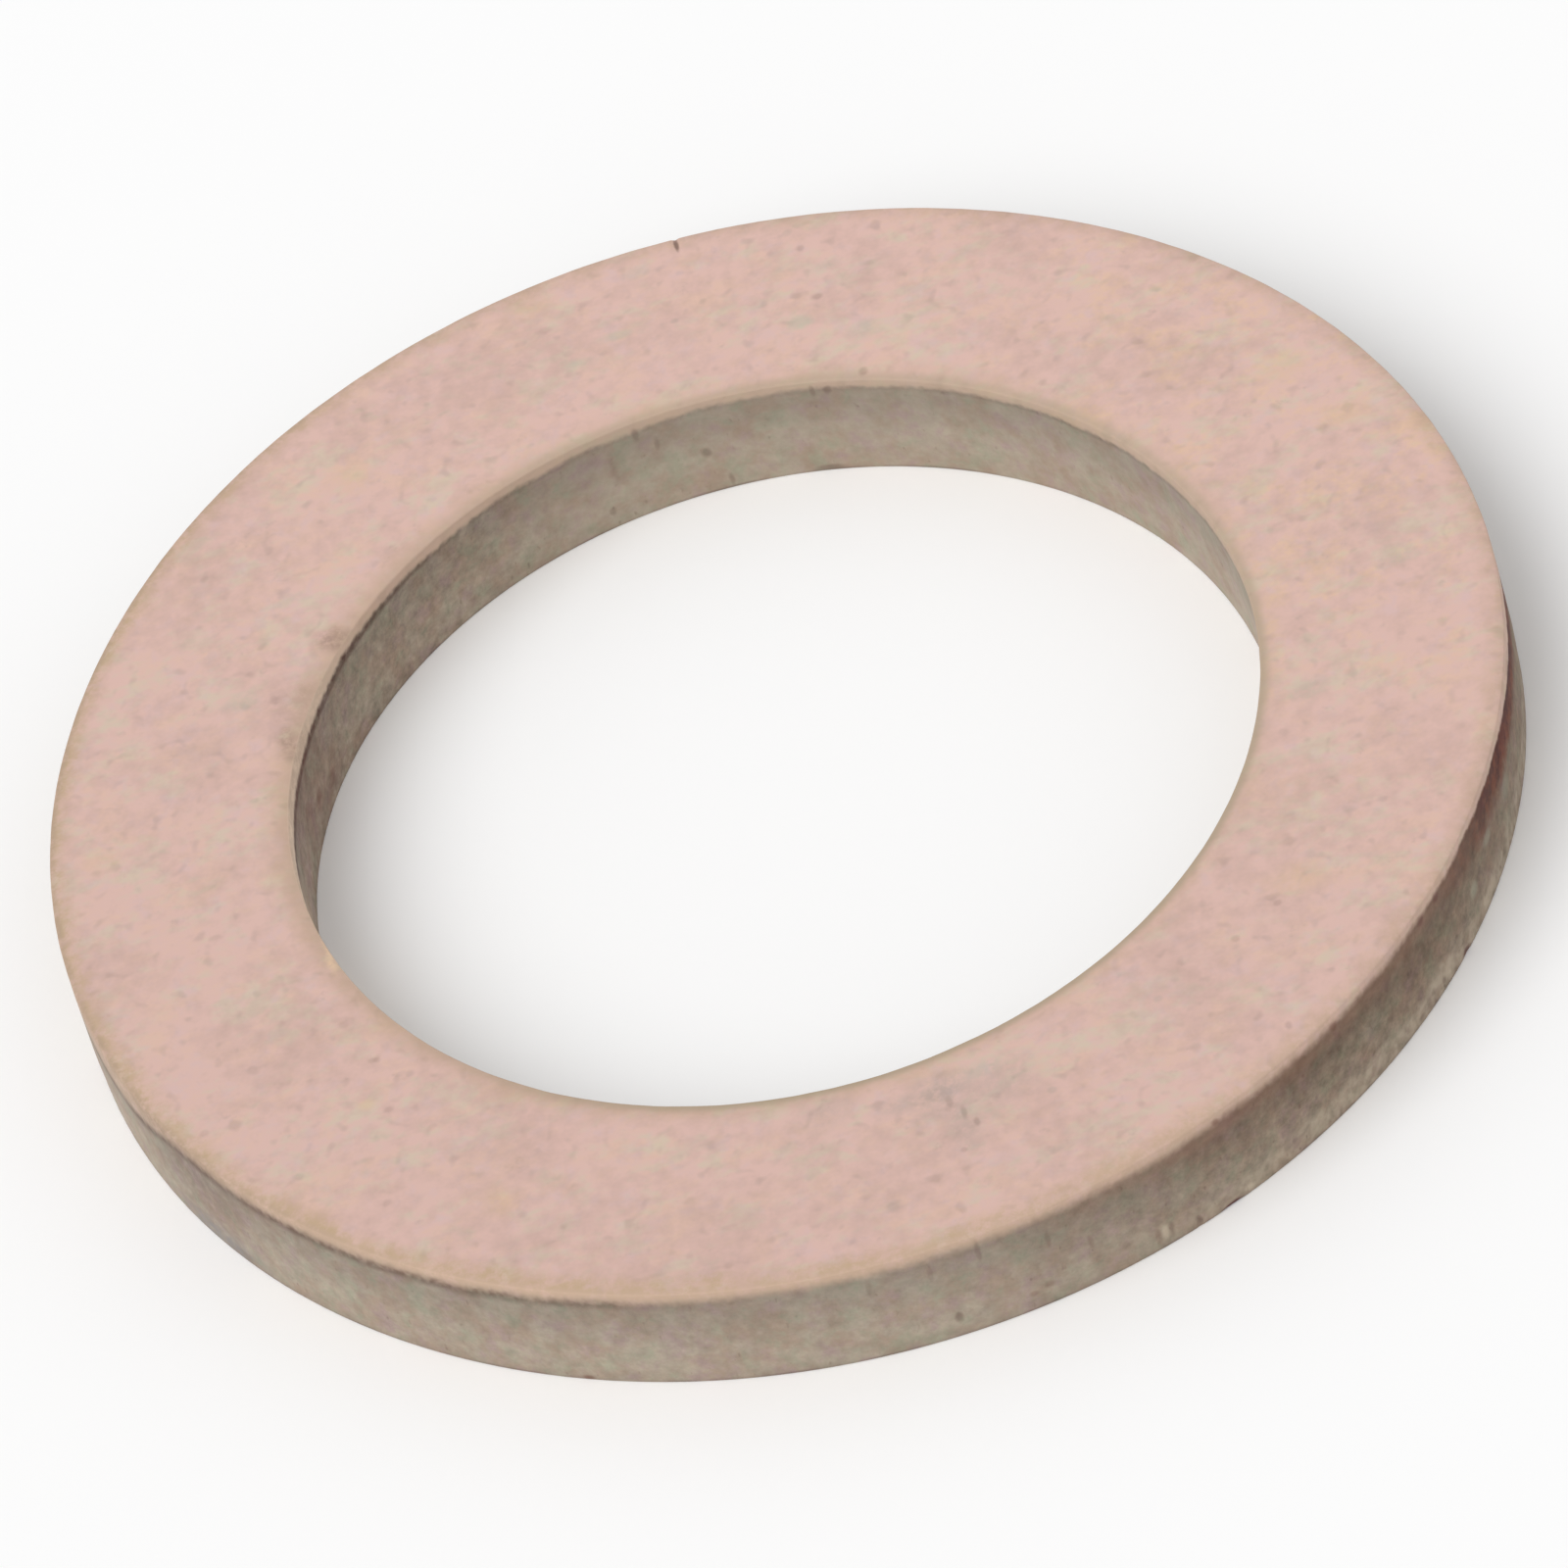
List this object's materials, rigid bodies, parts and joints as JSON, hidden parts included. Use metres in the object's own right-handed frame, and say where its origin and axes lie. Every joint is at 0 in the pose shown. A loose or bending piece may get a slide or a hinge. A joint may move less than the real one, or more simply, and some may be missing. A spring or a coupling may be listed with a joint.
{
  "type": "flat sealing ring",
  "caption": "Flat blanked metal sealing ring, rolled upper edges, plain cut walls, for sealing under a threaded plug or union.",
  "frame": {"origin": "centre of the lower sealing face, on the ring's axis", "axes": "+Z along the ring's axis, up from the lower sealing face; X and Y lie in that face"},
  "size_m": [0.018, 0.018, 0.0016],
  "materials": {
    "copper": "satin annealed copper, mottled pink and tan, olive-grey on the cut walls"
  },
  "bodies": {
    "root": {"sealing_ring": "copper"}
  },
  "joints": []
}
